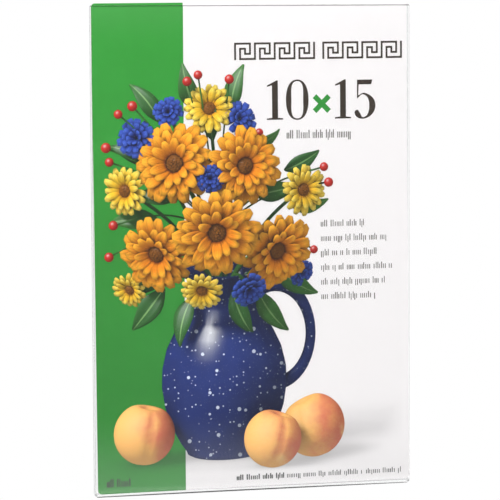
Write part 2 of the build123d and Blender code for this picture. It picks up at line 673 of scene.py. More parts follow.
def petal_blank(name, length, width, columns, outline, lift, thickness=PETAL_THICKNESS):
    """A petal or leaf along Y. outline and lift are shares of its width and length by row."""
    rows = len(outline) - 1
    pitch = length / rows
    blank = grid_blank(name, (0, length / 2, 0), width, length, columns, rows)
    start_edit(blank, "VERT")
    for row in range(rows + 1):
        pick(blank, "VERT", lambda at, _: abs(at.y - row * pitch) < pitch / 4)
        bpy.ops.transform.resize(value=(outline[row], 1, 1), center_override=(0, 0, 0))
        bpy.ops.transform.translate(value=(0, 0, lift[row] * length))
    pick(blank, "VERT", lambda at, _: abs(at.x) > width * RIM_SHARE)
    bpy.ops.transform.translate(value=(0, 0, width * RIM_LIFT_SHARE))
    end_edit()
    use_modifier(blank, "SOLIDIFY", thickness=thickness, offset=-1)
    smooth(blank)
    return blank


def store(mesh, name, values):
    """Keeps a number for each point of the mesh, for its material to read."""
    attribute = mesh.attributes.new(name, "FLOAT", "POINT")
    attribute.data.foreach_set("value", np.float32(values))


def copies_of(blank, places, chance):
    made = []
    for place in places:
        mesh = blank.data.copy()
        mesh.transform(place)
        store(mesh, "tint", np.full(len(mesh.vertices), chance.random()))
        made.append(new_object(blank.name, mesh))
    return made


def turned(angle, axis):
    return Matrix.Rotation(angle, 4, axis)


def facing(across, up, out, size=1.0, sideways=0.0, upwards=0.0, spin=0.0):
    """A place in the still life, in millimetres from the card's corner, facing the viewer."""
    turn = turned(sideways, "Z") @ turned(math.radians(90) - upwards, "X") @ turned(spin, "Z")
    return moved(across * MM, -out * MM, up * MM) @ turn @ Matrix.Scale(size, 4)


# %% [markdown]
# A flower is rings of petals, the outer ring flat and the inner ones steeper, each petal a
# little uneven. Its heart is a low dome of small beads in a spiral, each bead a golden turn
# on from the last, as seeds grow. The places are chosen to fill the space above the jug:
# across, up and out in millimetres, size, and two turns.

# %% Rings of petals and hearts of beads
GOLDEN_TURN = 2.39996
PETAL_OUTLINE = (0.30, 0.62, 0.85, 0.98, 1.0, 0.86, 0.42)
FRINGE_OUTLINE = (0.25, 0.40, 0.55, 0.75, 0.95, 1.0, 0.80)
PETAL_LIFT = (0.0, 0.05, 0.09, 0.11, 0.10, 0.06, -0.02)
UNEVEN_TURN = 0.08
UNEVEN_RISE = 0.12
UNEVEN_SIZE = (0.92, 1.06)


def ring(count, radius, rise, twist, size, chance):
    """Places for petals round a flower's middle, each a little uneven."""
    places = []
    for step in range(count):
        turn = 2 * math.pi * step / count + twist + chance.uniform(-UNEVEN_TURN, UNEVEN_TURN)
        tip = rise + chance.uniform(-UNEVEN_RISE, UNEVEN_RISE)
        grow = size * chance.uniform(*UNEVEN_SIZE)
        spot = turned(turn, "Z") @ moved(0, radius, 0) @ turned(tip, "X")
        places.append(spot @ Matrix.Scale(grow, 4))
    return places


def sunflower(count):
    """Points spread evenly over a disc of radius 1, each with its distance from the middle."""
    points = []
    for step in range(count):
        away = math.sqrt((step + 0.5) / count)
        turn = step * GOLDEN_TURN
        points.append((away * math.cos(turn), away * math.sin(turn), away))
    return points


def heart(count, radius, height, bead, place, chance):
    """Beads over a solid dome, so that nothing shows between them."""
    bpy.ops.mesh.primitive_ico_sphere_add(subdivisions=1, radius=bead, location=(0, 0, 0))
    blank = new_name("bead")
    smooth(blank)
    spots = [
        place @ moved(x * radius, y * radius, height * (1 - away * away))
        for x, y, away in sunflower(count)
    ]
    beads = copies_of(blank, spots, chance)
    bpy.data.objects.remove(blank)
    bpy.ops.mesh.primitive_ico_sphere_add(subdivisions=3, radius=radius, location=(0, 0, 0))
    dome = new_name("dome")
    smooth(dome)
    dome.data.transform(place @ Matrix.Diagonal((1, 1, height / radius, 1)))
    return [*beads, dome]


# %% Flowers
MOST_SPIN = 6
PETALS = {
    "orange": (9.6 * MM, 4.3 * MM, 4, PETAL_OUTLINE),
    "yellow": (6.4 * MM, 2.5 * MM, 2, PETAL_OUTLINE),
    "blue": (5.6 * MM, 2.4 * MM, 2, FRINGE_OUTLINE),
}
RINGS = {
    "orange": (
        (17, 3.0 * MM, 0.10, 0.0, 1.0),
        (15, 2.6 * MM, 0.38, 0.2, 0.88),
        (12, 2.0 * MM, 0.72, 0.1, 0.70),
    ),
    "yellow": ((16, 2.0 * MM, 0.12, 0.0, 1.0), (13, 1.6 * MM, 0.42, 0.2, 0.84)),
    "blue": (
        (13, 0.8 * MM, 0.25, 0.0, 1.0),
        (11, 0.6 * MM, 0.60, 0.3, 0.85),
        (8, 0.3 * MM, 0.95, 0.1, 0.65),
    ),
}
HEARTS = {
    "orange": (46, 3.0 * MM, 2.6 * MM, 0.55 * MM),
    "yellow": (34, 2.2 * MM, 1.8 * MM, 0.45 * MM),
}
FLOWER_PLACES = {
    "orange": (
        (39, 87, 24, 1.12, 0.05, -0.15),
        (20, 79, 15, 0.98, -0.45, -0.25),
        (58, 79, 15, 1.00, 0.45, -0.22),
        (26, 106, 9, 1.05, -0.30, 0.25),
        (48, 105, 10, 0.98, 0.28, 0.22),
    ),
    "yellow": (
        (10, 97, 5, 0.95, -0.55, 0.05),
        (67, 96, 5, 0.95, 0.50, 0.10),
        (37, 122, 3, 0.98, 0.0, 0.50),
        (34, 68, 21, 0.84, -0.15, -0.45),
        (11, 66, 6, 0.72, -0.5, -0.35),
    ),
    "blue": (
        (14, 113, 3, 1.0, -0.45, 0.35),
        (46.5, 118.5, 3, 0.88, 0.35, 0.45),
        (49, 68, 20, 0.95, 0.30, -0.45),
        (66, 70, 6, 0.72, 0.60, -0.30),
        (37, 102, 14, 0.75, 0.0, 0.2),
        (24, 121, 3, 0.78, -0.2, 0.5),
    ),
}


def make_flowers():
    chance = np.random.default_rng(4)
    heads = {"orange": [], "yellow": [], "blue": [], "hearts": []}
    for kind, places in FLOWER_PLACES.items():
        petal = petal_blank(kind + "_petal", *PETALS[kind], PETAL_LIFT)
        for spot in places:
            place = facing(*spot, chance.uniform(0, MOST_SPIN))
            for row in RINGS[kind]:
                petals = [place @ petal_place for petal_place in ring(*row, chance)]
                heads[kind] += copies_of(petal, petals, chance)
            if kind in HEARTS:
                heads["hearts"] += heart(*HEARTS[kind], place, chance)
        bpy.data.objects.remove(petal)
    return {kind: join_all(pieces, "still_" + kind) for kind, pieces in heads.items()}


still = make_flowers()
print("flowers", {kind: len(piece.data.polygons) for kind, piece in still.items()})

# %% [markdown]
# The leaves are the same kind of grid with a longer outline. They stand out behind and
# below the flowers: across, up and out, length, and which way they point, in degrees. The
# berries are small balls at the ends of thin stalks: across, up and radius.

# %% Leaves and berries
LEAF_WIDTH_SHARE = 0.42
LEAF_THICKNESS_SHARE = 0.02
LEAF_TIP = 0.2
LEAF_ROLL = 0.5
LEAF_OUTLINE = (0.12, 0.55, 0.86, 1.0, 0.97, 0.84, 0.62, 0.36, 0.06)
LEAF_LIFT = (0.0, 0.06, 0.10, 0.12, 0.12, 0.10, 0.06, 0.0, -0.08)
LEAF_PLACES = (
    (24, 74, 4, 19, 122), (20, 87, 0, 15, 92), (19, 104, -2, 15, 66), (21, 117, -3, 15, 36),
    (32, 121, -4, 15, 14), (44, 120, -4, 15, -14), (51, 109, -3, 10, -62),
    (61, 101, -2, 13, -64), (63, 90, 0, 12.5, -84), (58, 72, 4, 17, -128),
    (44, 66, 14, 16, -158), (31, 64, 12, 16, 162), (26, 94, 6, 14, 84), (51, 95, 6, 15, -80),
    (38, 112, 4, 13, 0), (22, 66, 6, 17, 142), (52, 65, 8, 17, -146), (38, 72, 8, 14, 178),
)
BERRY_OUT = 4
BERRY_PLACES = (
    (5, 106, 1.4), (4, 110.5, 1.6), (8, 121, 1.4), (12.5, 123.5, 1.6), (6, 86, 1.5),
    (30, 131, 1.5), (33.5, 133, 1.4), (43.5, 131.5, 1.5), (74, 103, 1.4), (75.5, 98, 1.5),
    (4.5, 76, 1.5), (70.5, 76.5, 1.3), (53, 114.4, 1.3),
)


def joined_copies(blank, places, chance, name):
    """Copies of a blank, joined to one piece, with the blank itself thrown away."""
    piece = join_all(copies_of(blank, places, chance), name)
    bpy.data.objects.remove(blank)
    return piece


def make_leaves():
    chance = np.random.default_rng(9)
    size = (1, LEAF_WIDTH_SHARE, 4)
    blank = petal_blank("leaf", *size, LEAF_OUTLINE, LEAF_LIFT, LEAF_THICKNESS_SHARE)
    places = []
    for across, up, out, length, angle in LEAF_PLACES:
        spot = facing(across, up, out, upwards=chance.uniform(-LEAF_TIP, LEAF_TIP))
        roll = chance.uniform(-LEAF_ROLL, LEAF_ROLL)
        turn = turned(math.radians(angle), "Z") @ turned(roll, "Y")
        places.append(spot @ turn @ Matrix.Scale(length * MM, 4))
    return joined_copies(blank, places, chance, "still_leaves")


def ball_blank(name, segments, rings):
    bpy.ops.mesh.primitive_uv_sphere_add(
        segments=segments, ring_count=rings, radius=1, location=(0, 0, 0)
    )
    blank = new_name(name)
    smooth(blank)
    return blank


def make_berries():
    places = [
        moved(across * MM, -BERRY_OUT * MM, up * MM) @ Matrix.Scale(radius * MM, 4)
        for across, up, radius in BERRY_PLACES
    ]
    blank = ball_blank("berry", 16, 10)
    return joined_copies(blank, places, np.random.default_rng(5), "still_berries")


still["leaves"] = make_leaves()
still["berries"] = make_berries()

# %% Stalks
BERRY_STALKS_FROM = (39, -3, 84)
BERRY_STALK_BOW = 5
BERRY_STALK_RADIUS = 0.28 * MM
FLOWER_STALKS_FROM = (41, 0, 63)
FLOWER_STALK_BOW = 6
FLOWER_STALK_RADIUS = 0.6 * MM
HEAD_DEPTH = 3


def curve_mesh(name, curve):
    take(new_object(name, curve))
    bpy.ops.object.convert(target="MESH")
    return bpy.context.object


def stalk(start, end, bow, radius):
    """A thin stalk between two places in millimetres, bowed upwards."""
    curve = bpy.data.curves.new("stalk", "CURVE")
    curve.dimensions = "3D"
    curve.bevel_depth = radius
    curve.bevel_resolution = 1
    spline = curve.splines.new("BEZIER")
    spline.bezier_points.add(1)
    start, end = Vector(start) * MM, Vector(end) * MM
    for point, place in zip(spline.bezier_points, (start, end)):
        point.co = place
        point.handle_left_type = point.handle_right_type = "FREE"
        point.handle_left = point.handle_right = (start + end) / 2 + Vector((0, 0, bow * MM))
    return curve_mesh("stalk", curve)


def make_stalks():
    stalks = [
        stalk(BERRY_STALKS_FROM, (across, -BERRY_OUT, up), BERRY_STALK_BOW, BERRY_STALK_RADIUS)
        for across, up, _ in BERRY_PLACES
    ]
    for places in FLOWER_PLACES.values():
        for across, up, out, *_ in places:
            head = (across, HEAD_DEPTH - out, up)
            stalks.append(stalk(FLOWER_STALKS_FROM, head, FLOWER_STALK_BOW, FLOWER_STALK_RADIUS))
    return join_all(stalks, "still_stalks")


still["stalks"] = make_stalks()

# %% [markdown]
# The jug begins as one ring of points at its foot. Each extrude and resize adds the next
# ring, as a potter pulls a wall up. Its handle is a stretched ring, partly sunk in the wall.

# %% Enamel jug
JUG_ACROSS = 41 * MM
JUG_FOOT = 11 * MM
JUG_SEGMENTS = 56
JUG_PROFILE = (
    (11.0, 0.0), (12.2, 0.6), (12.6, 1.6), (14.6, 4.5), (17.2, 9.5), (19.2, 15.5), (20.2, 22.0),
    (20.0, 28.0), (18.6, 34.0), (16.0, 39.5), (13.0, 44.0), (10.9, 48.0), (10.2, 51.5),
    (10.6, 54.5), (11.8, 57.0), (12.6, 58.2), (12.9, 58.8), (12.6, 59.3), (11.8, 59.0),
    (10.6, 56.5), (9.4, 52.0),
)
HANDLE_MIDDLE = (16.6 * MM, 0, 38 * MM)
HANDLE_RADIUS = 13.5 * MM
HANDLE_THICKNESS = 1.9 * MM
HANDLE_STRETCH = (0.86, 1.18, 1.35)


def jug_body():
    radius, height = JUG_PROFILE[0]
    bpy.ops.mesh.primitive_circle_add(
        vertices=JUG_SEGMENTS, radius=radius * MM, fill_type="NGON", location=(0, 0, height)
    )
    jug = new_name("jug_body")
    start_edit(jug, "EDGE")
    pick_all()
    for next_radius, next_height in JUG_PROFILE[1:]:
        extrude_edges((0, 0, (next_height - height) * MM))
        grow = next_radius / radius
        bpy.ops.transform.resize(value=(grow, grow, 1), center_override=(0, 0, next_height * MM))
        radius, height = next_radius, next_height
    bpy.ops.mesh.fill()
    face_outwards()
    end_edit()
    return jug


def make_jug():
    body = jug_body()
    bpy.ops.mesh.primitive_torus_add(
        major_segments=40,
        minor_segments=14,
        major_radius=HANDLE_RADIUS,
        minor_radius=HANDLE_THICKNESS,
        location=HANDLE_MIDDLE,
        rotation=UPRIGHT,
    )
    handle = new_name("jug_handle")
    handle.scale = HANDLE_STRETCH
    apply_place(handle)
    jug = join_all([body, handle], "still_jug")
    jug.data.transform(moved(JUG_ACROSS, 0, JUG_FOOT))
    smooth(jug)
    return jug


still["jug"] = make_jug()

# %% [markdown]
# A peach is a ball with a dip at the stalk and a soft cleft down its front. The dip and the
# cleft are pulled in with proportional editing, which fades a move out with distance. Each
# peach's place is across and out, then its radius and its turn.

# %% Peaches
PEACH_PLACES = ((70, 12, 10.2, -0.42), (56.5, 27, 9.4, 0.32), (15, 12, 9.8, 0.2))
DIP_DEPTH, DIP_REACH = 0.20, 0.60
CLEFT_DEPTH, CLEFT_REACH = 0.055, 0.26


def pull_in(blank, test, move, reach):
    pick(blank, "VERT", test)
    bpy.ops.transform.translate(
        value=move,
        use_proportional_edit=True,
        proportional_edit_falloff="SHARP",
        proportional_size=reach,
    )


def at_stalk(at, _):
    return at.z > 0.99


def on_cleft(at, _):
    return abs(at.x) < 0.02 and at.y < -0.1


def make_peaches():
    blank = ball_blank("peach", 48, 30)
    start_edit(blank, "VERT")
    pull_in(blank, at_stalk, (0, 0, -DIP_DEPTH), DIP_REACH)
    pull_in(blank, on_cleft, (0, CLEFT_DEPTH, 0), CLEFT_REACH)
    end_edit()
    places = []
    for across, out, radius, angle in PEACH_PLACES:
        spot = moved(across * MM, -out * MM, JUG_FOOT + radius * MM)
        turn = turned(angle, "Y") @ turned(angle, "Z")
        places.append(spot @ turn @ Matrix.Scale(radius * MM, 4))
    return joined_copies(blank, places, np.random.default_rng(3), "still_peaches")


still["peaches"] = make_peaches()
print("still life", sum(len(piece.data.polygons) for piece in still.values()), "faces")

# %% [markdown]
# The still life is seen from a little above, so it is tipped towards the viewer. Then its
# light is worked out once. From each point a fan of rays asks how much of the sky it sees,
# and a few more ask whether the lamp reaches it. The answer and the point's facing are
# stored on the mesh, where the inks will read them. What faces away is left unlit, because
# it never shows.

# %% Rays of sky and lamp
VIEW_TILT = math.radians(11)
LAMP_DIRECTION = Vector((-0.50, -0.62, 0.60)).normalized()
LAMP_SPREAD = 0.16
SKY_RAYS = 22
LAMP_RAYS = 6
RAY_START = 0.25 * MM
SKY_REACH = 45 * MM
NEAR_HIT_SHARE = 0.25
UP = Vector((0, 0, 1))

view_tilt = moved(0, 0, JUG_FOOT) @ turned(VIEW_TILT, "X") @ moved(0, 0, -JUG_FOOT)
sky_rays = [Vector((x, y, math.sqrt(1 - away * away))) for x, y, away in sunflower(SKY_RAYS)]
to_lamp = UP.rotation_difference(LAMP_DIRECTION).to_matrix()
lamp_rays = [
    (LAMP_DIRECTION + to_lamp @ Vector((x, y, 0)) * LAMP_SPREAD).normalized()
    for x, y, _ in sunflower(LAMP_RAYS)
]


def light_point(scene_tree, place, normal):
    """How much of the sky and of the lamp a point sees, each from 0 to 1."""
    start = place + normal * RAY_START
    turn = UP.rotation_difference(normal).to_matrix()
    sky = 0.0
    for ray in sky_rays:
        hit = scene_tree.ray_cast(start, turn @ ray, SKY_REACH)
        sky += 1.0 if hit[0] is None else NEAR_HIT_SHARE * hit[3] / SKY_REACH
    lamp = 0.0
    for ray in lamp_rays:
        slope = normal.dot(ray)
        if slope > 0 and scene_tree.ray_cast(start, ray)[0] is None:
            lamp += slope
    return sky / len(sky_rays), lamp / len(lamp_rays)


# %% Light the still life
FACING_AWAY = 0.35


def all_faces(pieces):
    """One tree of all the pieces' faces, for rays to hit."""
    points, faces = [], []
    for piece in pieces:
        start = len(points)
        points += [Vector(point.co) for point in piece.data.vertices]
        faces += [[start + index for index in face.vertices] for face in piece.data.polygons]
    return BVHTree.FromPolygons(points, faces)


def light_mesh(scene_tree, mesh):
    light = np.zeros((len(mesh.vertices), 2))
    form = np.array([point.normal for point in mesh.vertices], dtype=np.float32)
    for index, point in enumerate(mesh.vertices):
        if point.normal.y < FACING_AWAY:
            light[index] = light_point(scene_tree, point.co, point.normal)
    store(mesh, "sky", light[:, 0])
    store(mesh, "lamp", light[:, 1])
    attribute = mesh.attributes.new("form", "FLOAT_VECTOR", "POINT")
    attribute.data.foreach_set("vector", form.ravel())


for piece in still.values():
    piece.data.transform(view_tilt)
    piece.data.update()
light_tree = all_faces(still.values())
for piece in still.values():
    light_mesh(light_tree, piece.data)
print("still life lit,", sum(len(piece.data.vertices) for piece in still.values()), "points")

# %% [markdown]
# The print's inks read the stored light. Each recipe gives the thing's own colour, and one
# shared recipe multiplies it by the light and adds the highlight that the studio lamp left
# on it, always in the same place, because it is printed there.

# %% Printed tones
HIGHLIGHT_DIRECTION = (LAMP_DIRECTION + Vector((0, -1, 0.1))).normalized()
HIGHLIGHT_COLOUR = (0.92, 0.93, 0.95, 1)
SKY_SHARE = 0.52
LAMP_SHARE = 0.95


def stored(tree, name, output="Fac"):
    return add_node(tree, "Attribute", attribute_name=name).outputs[output]


def vector_node(tree, operation, first, second=(0, 0, 0), output="Value"):
    inputs = {0: first, 1: second}
    return add_node(tree, "VectorMath", inputs, operation=operation).outputs[output]


def highlight(tree, gloss, sharpness):
    """Where the thing faces halfway to the lamp, and the lamp reaches it."""
    towards = vector_node(tree, "DOT_PRODUCT", stored(tree, "form", "Vector"), HIGHLIGHT_DIRECTION)
    shine = calc(tree, "POWER", calc(tree, "MAXIMUM", towards, 0.0), sharpness)
    reached = scaled(tree, ramp(tree, stored(tree, "lamp"), 0.1, 0.5), gloss)
    return calc(tree, "MULTIPLY", shine, reached, clamp=True)


def printed(tree, own_colour, gloss=0.0, sharpness=30.0):
    light = scaled(tree, stored(tree, "sky"), SKY_SHARE)
    light = scaled(tree, stored(tree, "lamp"), LAMP_SHARE, light)
    toned = shaded(tree, own_colour(tree), light)
    if gloss:
        toned = mix(tree, highlight(tree, gloss, sharpness), toned, HIGHLIGHT_COLOUR)
    fine = noise(tree, object_place(tree), scale=2600, detail=3)
    return principled(tree, toned, scaled(tree, fine, 0.1, 0.36))


# %% [markdown]
# Each thing has its own colours. A petal is darker at its base, with fine veins along it,
# and a leaf has a pale rib and slanting veins, so both read the map that their grid came
# with. The enamel's specks are cells, most too small to show, and the peaches blush on the
# side towards the sun.

# %% Colours of petals and leaves
VEIN_DEPTH = 0.35
VEIN_LAY = (9, 0.9, 1)
LEAF_GREENS = ((0.020, 0.105, 0.022, 1), (0.055, 0.20, 0.035, 1))
LEAF_VEIN = (0.16, 0.36, 0.10, 1)
LEAF_RIB = (0.22, 0.42, 0.14, 1)
LEAF_VEIN_COUNT = 62.0


def own_map(tree):
    return add_node(tree, "UVMap", uv_map="UVMap").outputs["UV"]


def petal_colour(base, middle, tip):
    def recipe(tree):
        length = along(tree, "Y", own_map(tree))
        stretched = add_node(tree, "Mapping", {"Vector": own_map(tree), "Scale": VEIN_LAY})
        vein = ramp(tree, noise(tree, stretched.outputs["Vector"], scale=2.2, detail=3), 0.3, 0.62)
        colour = mix(tree, ramp(tree, length, 0.05, 0.5), base, middle)
        colour = mix(tree, ramp(tree, length, 0.55, 1.0), colour, tip)
        tint = scaled(tree, stored(tree, "tint"), 0.24, 0.88)
        shade = scaled(tree, scaled(tree, vein, VEIN_DEPTH, 1.0 - VEIN_DEPTH), tint)
        return shaded(tree, colour, shade)

    return recipe


def leaf_colour(tree):
    from_rib = calc(tree, "ABSOLUTE", scaled(tree, along(tree, "X", own_map(tree)), 1.0, -0.5))
    slant = scaled(tree, from_rib, -1.6, along(tree, "Y", own_map(tree)))
    veins = ramp(tree, calc(tree, "SINE", scaled(tree, slant, LEAF_VEIN_COUNT)), 0.75, 1.0)
    green = mix(tree, stored(tree, "tint"), *LEAF_GREENS)
    green = mix(tree, scaled(tree, veins, 0.35), green, LEAF_VEIN)
    return mix(tree, ramp(tree, from_rib, 0.02, 0.06), LEAF_RIB, green)


# %% Colours of enamel, peaches and the rest
ENAMEL_BLUES = ((0.010, 0.020, 0.105, 1), (0.020, 0.040, 0.200, 1))
SPECK_COLOUR = (0.62, 0.68, 0.80, 1)
SPECK_SIZES = ((430.0, 0.30), (900.0, 0.26))
PEACH_SKIN = ((0.93, 0.46, 0.10, 1), (0.72, 0.13, 0.06, 1))
PEACH_PATCH = (0.95, 0.56, 0.20, 1)
PEACH_DOWN = (0.98, 0.72, 0.45, 1)


def specks(tree, scale, largest):
    """Round specks, one in the middle of each cell, of sizes left to chance."""
    cells = add_node(tree, "TexVoronoi", {"Vector": object_place(tree), "Scale": scale})
    chance = add_node(tree, "SeparateColor", {0: cells.outputs["Color"]}).outputs[0]
    reach = ramp(tree, chance, 0.35, 1.0, 0.0, largest)
    return ramp(tree, calc(tree, "SUBTRACT", cells.outputs["Distance"], reach), 0.0, -0.05)


def enamel_colour(tree):
    large, small = (specks(tree, scale, largest) for scale, largest in SPECK_SIZES)
    blue = mix(tree, noise(tree, object_place(tree), scale=90), *ENAMEL_BLUES)
    return mix(tree, calc(tree, "MAXIMUM", large, small), blue, SPECK_COLOUR)


def peach_colour(tree):
    place = object_place(tree)
    sunward = along(tree, "X", stored(tree, "form", "Vector"))
    side = scaled(tree, sunward, 0.5, noise(tree, place, scale=140, detail=5))
    skin = mix(tree, ramp(tree, side, 0.35, 0.95), *PEACH_SKIN)
    patches = ramp(tree, noise(tree, place, scale=90, detail=3), 0.55, 0.7)
    skin = mix(tree, patches, skin, PEACH_PATCH)
    return mix(tree, scaled(tree, noise(tree, place, scale=1600), 0.22), skin, PEACH_DOWN)


def speckled(dark, light, scale):
    def recipe(tree):
        return mix(tree, noise(tree, object_place(tree), scale, detail=3), dark, light)

    return recipe


# %% Dress the still life
ORANGES = ((0.55, 0.085, 0.004, 1), (0.90, 0.27, 0.010, 1), (0.96, 0.44, 0.030, 1))
YELLOWS = ((0.80, 0.30, 0.01, 1), (0.95, 0.58, 0.03, 1), (0.97, 0.74, 0.12, 1))
BLUES = ((0.010, 0.012, 0.10, 1), (0.020, 0.045, 0.30, 1), (0.05, 0.11, 0.52, 1))
HEART_BROWNS = ((0.10, 0.030, 0.006, 1), (0.36, 0.13, 0.012, 1))
STALK_GREENS = ((0.03, 0.13, 0.025, 1), (0.07, 0.22, 0.04, 1))
BERRY_REDS = ((0.42, 0.012, 0.010, 1), (0.62, 0.030, 0.018, 1))
FINISHES = {
    "orange": ("orange_petals", petal_colour(*ORANGES)),
    "yellow": ("yellow_petals", petal_colour(*YELLOWS)),
    "blue": ("blue_petals", petal_colour(*BLUES)),
    "hearts": ("flower_hearts", speckled(*HEART_BROWNS, 900), 0.15),
    "leaves": ("leaves", leaf_colour, 0.22, 12),
    "stalks": ("stalks", speckled(*STALK_GREENS, 300)),
    "berries": ("berries", speckled(*BERRY_REDS, 300), 0.8, 26),
    "jug": ("enamel", enamel_colour, 0.85, 70),
    "peaches": ("peach_skin", peach_colour, 0.10, 8),
}

for kind, (name, own_colour, *shine) in FINISHES.items():
    wear(still[kind], make_material(name, printed, own_colour, *shine))
print("the still life wears", len(FINISHES), "inks")

# %% [markdown]
# The table under the still life is plain paper, so only its soft shadow is printed, on the
# white and on the band alike. A grid stands for the table, and each of its points asks the
# same rays how dark it is. A real studio lamp is wide, so the shade is then averaged with
# its neighbours, and it fades out before the grid ends.

# %% Soft shadow under the still life
TABLE_NEAR = 34 * MM
TABLE_FAR = 84 * MM
TABLE_MARGIN = 1.4 * MM
TABLE_FADE = 9 * MM
TABLE_FAR_FADE = 60 * MM
TABLE_COLUMNS = 96
TABLE_ROWS = 60
SHADE_PASSES = 14
SHADE_KEPT = 0.4
SHADE_DARKEST = 0.50
SHADE_OF_SKY = 0.45


def softened(shade):
    """Averages a grid of shade with its four neighbours, many times."""
    for _ in range(SHADE_PASSES):
        wide = np.pad(shade, 1, mode="edge")
        beside = wide[1:-1, :-2] + wide[1:-1, 2:] + wide[:-2, 1:-1] + wide[2:, 1:-1]
        shade = SHADE_KEPT * shade + (1 - SHADE_KEPT) / 4 * beside
    return shade


def points_of(mesh):
    return np.array([point.co for point in mesh.vertices])


def shade_on(mesh, flat):
    """The light that each point of the tipped table gets, softened along its rows."""
    up = (view_tilt.to_3x3() @ UP).normalized()
    full = sum(max(0.0, up.dot(ray)) for ray in lamp_rays) / len(lamp_rays)
    light = np.array([light_point(light_tree, point.co, up) for point in mesh.vertices])
    shade = SHADE_OF_SKY * light[:, 0] + (1 - SHADE_OF_SKY) * light[:, 1] / full
    order = np.lexsort((flat[:, 0], flat[:, 1]))
    rows = np.clip(shade[order], 0, 1).reshape(TABLE_ROWS + 1, TABLE_COLUMNS + 1)
    shade[order] = softened(rows).ravel()
    return shade


def table_shadow():
    left, right = TABLE_MARGIN, CARD_WIDTH - TABLE_MARGIN
    middle = ((left + right) / 2, (TABLE_FAR - TABLE_NEAR) / 2, JUG_FOOT)
    depth = TABLE_NEAR + TABLE_FAR
    table = grid_blank("still_table", middle, right - left, depth, TABLE_COLUMNS, TABLE_ROWS)
    flat = points_of(table.data)
    table.data.transform(view_tilt)
    side = np.minimum(flat[:, 0] - left, right - flat[:, 0]) / TABLE_FADE
    near = (flat[:, 1] + TABLE_NEAR) / TABLE_FADE
    far = (TABLE_FAR - flat[:, 1]) / TABLE_FAR_FADE
    fade = np.clip(np.minimum(side, np.minimum(near, far)), 0, 1)
    dark = (1 - shade_on(table.data, flat)) * (1 - SHADE_DARKEST) * fade
    store(table.data, "shade", 1 - dark)
    place = points_of(table.data)
    band_edge = BAND_WIDTH_LOW + (BAND_WIDTH_HIGH - BAND_WIDTH_LOW) * place[:, 2] / CARD_HEIGHT
    store(table.data, "past_band", (place[:, 0] - band_edge) / MM)
    return table


def shadow_ink(tree):
    """The paper's white or the band's green, whichever lies under it, darkened by the shade."""
    white, gloss = coated_white(tree)
    past_band = calc(tree, "GREATER_THAN", stored(tree, "past_band"), 0.0)
    tone = mix(tree, past_band, green_tone(tree), white)
    return principled(tree, shaded(tree, tone, stored(tree, "shade")), gloss)


table = table_shadow()
wear(table, make_material("printed_shadow", shadow_ink))

# %% [markdown]
# Now the still life is pressed flat. Its depth shrinks to 0.15 mm, and what was in front
# stays in front, so nothing has to be cut out. Flat shading keeps the studio's lamps from
# reading the pressed forms a second time.

# %% Press the still life onto the card
RELIEF_START = 0.03 * MM
RELIEF_DEPTH = 0.15 * MM


def press_flat(pieces, start, depth):
    """Presses pieces together into a layer that starts this far above the paper."""
    depths = [point.co.y for piece in pieces.values() for point in piece.data.vertices]
    nearest, farthest = min(depths), max(depths)
    squeeze = depth / (farthest - nearest)
    press = moved(0, -start - depth - nearest * squeeze, 0) @ Matrix.Diagonal((1, squeeze, 1, 1))
    for kind, piece in pieces.items():
        piece.data.transform(press)
        piece.data.update()
        take(piece)
        bpy.ops.object.shade_flat()
        print_on_card(piece, "picture_" + kind)


press_flat(still, RELIEF_START, RELIEF_DEPTH)
press_flat({"shadow": table}, INK, INK / 2)
print("picture printed in", len(still) + 1, "layers")

# %% [markdown]
# A meander, the old Greek key, heads the card in two lengths of dark brown ink. It is one
# line that turns in on itself and out again, so a small square is drawn along its turns by
# extruding the leading edge, first the straight run and then the corner.

# %% Meander heading
KEY_STROKE = 0.62 * MM
KEY_PITCH = 1.6 * MM
KEY_TURNS = ((0, 3), (3, 3), (3, 1), (2, 1), (2, 2), (1, 2), (1, 0), (4, 0))
KEY_UNITS = 4
KEY_CORNER = 0.10 * MM
KEY_LEFTS = {"left": 45.2 * MM, "right": 73.8 * MM}
KEY_FOOT = 134.4 * MM
BROWNS = ((0.026, 0.017, 0.011, 1), (0.042, 0.029, 0.020, 1))


def through_ink(at, _):
    """The edges that run from the front of an ink layer to its back."""
    return abs(at.y + INK / 2) < INK / 4


def thicken_ink(piece, corner=0.0):
    """Joins a flat drawing into one outline as thick as the ink, and rounds its corners."""
    start_edit(piece)
    weld()
    bpy.ops.mesh.dissolve_limited(angle_limit=math.radians(1))
    pick_all()
    extrude_faces((0, -INK, 0))
    face_outwards()
    if corner:
        bpy.ops.mesh.select_mode(type="EDGE")
        pick(piece, "EDGE", through_ink)
        bpy.ops.mesh.bevel(offset=corner, segments=2, affect="EDGES")
    end_edit()


def key_turns(left):
    """The places where the line turns, from its start at the lower left."""
    turns = [Vector((0, 0, 0))]
    for unit in range(KEY_UNITS):
        turns += [Vector((4 * unit + across, 0, up)) for across, up in KEY_TURNS]
    turns.append(turns[-1] + Vector((0, 0, 3)))
    corner = Vector((left + KEY_STROKE / 2, 0, KEY_FOOT + KEY_STROKE / 2))
    return [corner + turn * KEY_PITCH for turn in turns]


def meander(name, left):
    turns = key_turns(left)
    line = sheet_blank(name, turns[0], KEY_STROKE, KEY_STROKE, UPRIGHT)
    start_edit(line, "EDGE")
    for start, end in zip(turns, turns[1:]):
        way = (end - start).normalized()
        leading = start + way * KEY_STROKE / 2
        pick(line, "EDGE", lambda at, _: (at - leading).length < WELD)
        extrude_edges(way * ((end - start).length - KEY_STROKE))
        extrude_edges(way * KEY_STROKE)
    end_edit()
    thicken_ink(line, KEY_CORNER)
    print_on_card(line, name)
    return line


brown_ink = make_material("brown_ink", ink, *BROWNS)
for end, left in KEY_LEFTS.items():
    line = meander("print_heading_" + end, left)
    wear(line, brown_ink)
    tell(line)

